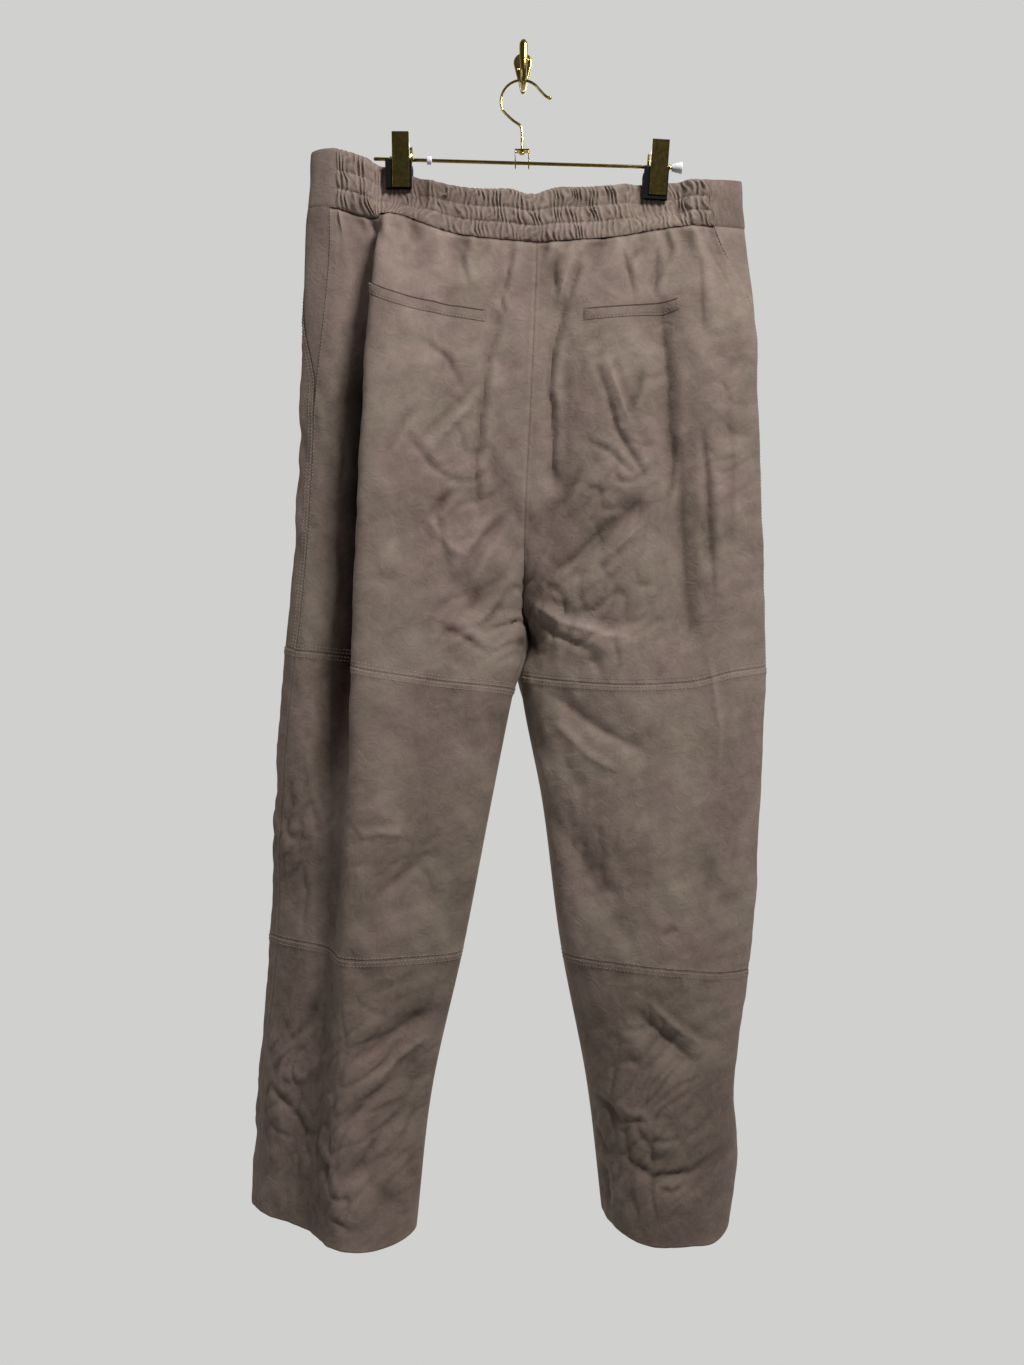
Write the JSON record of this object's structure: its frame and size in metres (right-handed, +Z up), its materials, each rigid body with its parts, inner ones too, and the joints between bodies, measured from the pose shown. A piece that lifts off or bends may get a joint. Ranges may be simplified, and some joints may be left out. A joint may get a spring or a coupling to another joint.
{
  "type": "leather trousers on a clip hanger and wall hook",
  "caption": "Suede leather trousers with a gathered back waistband, hung flat by the waist from a clip hanger on a small wall hook.",
  "frame": {"origin": "middle of the wall hook's flat back, on the wall", "axes": "+Z up, +Y into the wall, +X to the right of someone who faces the wall and looks at the back of the trousers"},
  "size_m": [0.5189, 0.1023, 1.191],
  "materials": {
    "suede": "matt taupe suede nap with darker brushed patches",
    "brass": "polished, pale gold",
    "pad_rubber": "matt black",
    "cap_plastic": "translucent white"
  },
  "bodies": {
    "root": {"waistband_back": "suede", "waistband_front": "suede", "back_hip_left": "suede", "front_hip_left": "suede", "pocket_facing_left": "suede", "pocket_welt_left": "suede", "back_thigh_left": "suede", "front_thigh_left": "suede", "back_shin_left": "suede", "front_shin_left": "suede", "back_hip_right": "suede", "front_hip_right": "suede", "pocket_facing_right": "suede", "pocket_welt_right": "suede", "back_thigh_right": "suede", "front_thigh_right": "suede", "back_shin_right": "suede", "front_shin_right": "suede", "hanger_bar": "brass", "hanger_bracket": "brass", "hanger_hook": "brass", "wall_hook": "brass", "wall_screw_upper": "brass", "wall_screw_lower": "brass", "clip_left_front_jaw": "brass", "clip_left_rear_jaw": "brass", "clip_left_spring": "brass", "clip_left_loop": "brass", "clip_left_stop": "brass", "clip_right_front_jaw": "brass", "clip_right_rear_jaw": "brass", "clip_right_spring": "brass", "clip_right_loop": "brass", "clip_right_stop": "brass", "clip_left_front_pad": "pad_rubber", "clip_left_rear_pad": "pad_rubber", "clip_right_front_pad": "pad_rubber", "clip_right_rear_pad": "pad_rubber", "bar_ring": "cap_plastic", "bar_end_cap": "cap_plastic"}
  },
  "joints": []
}
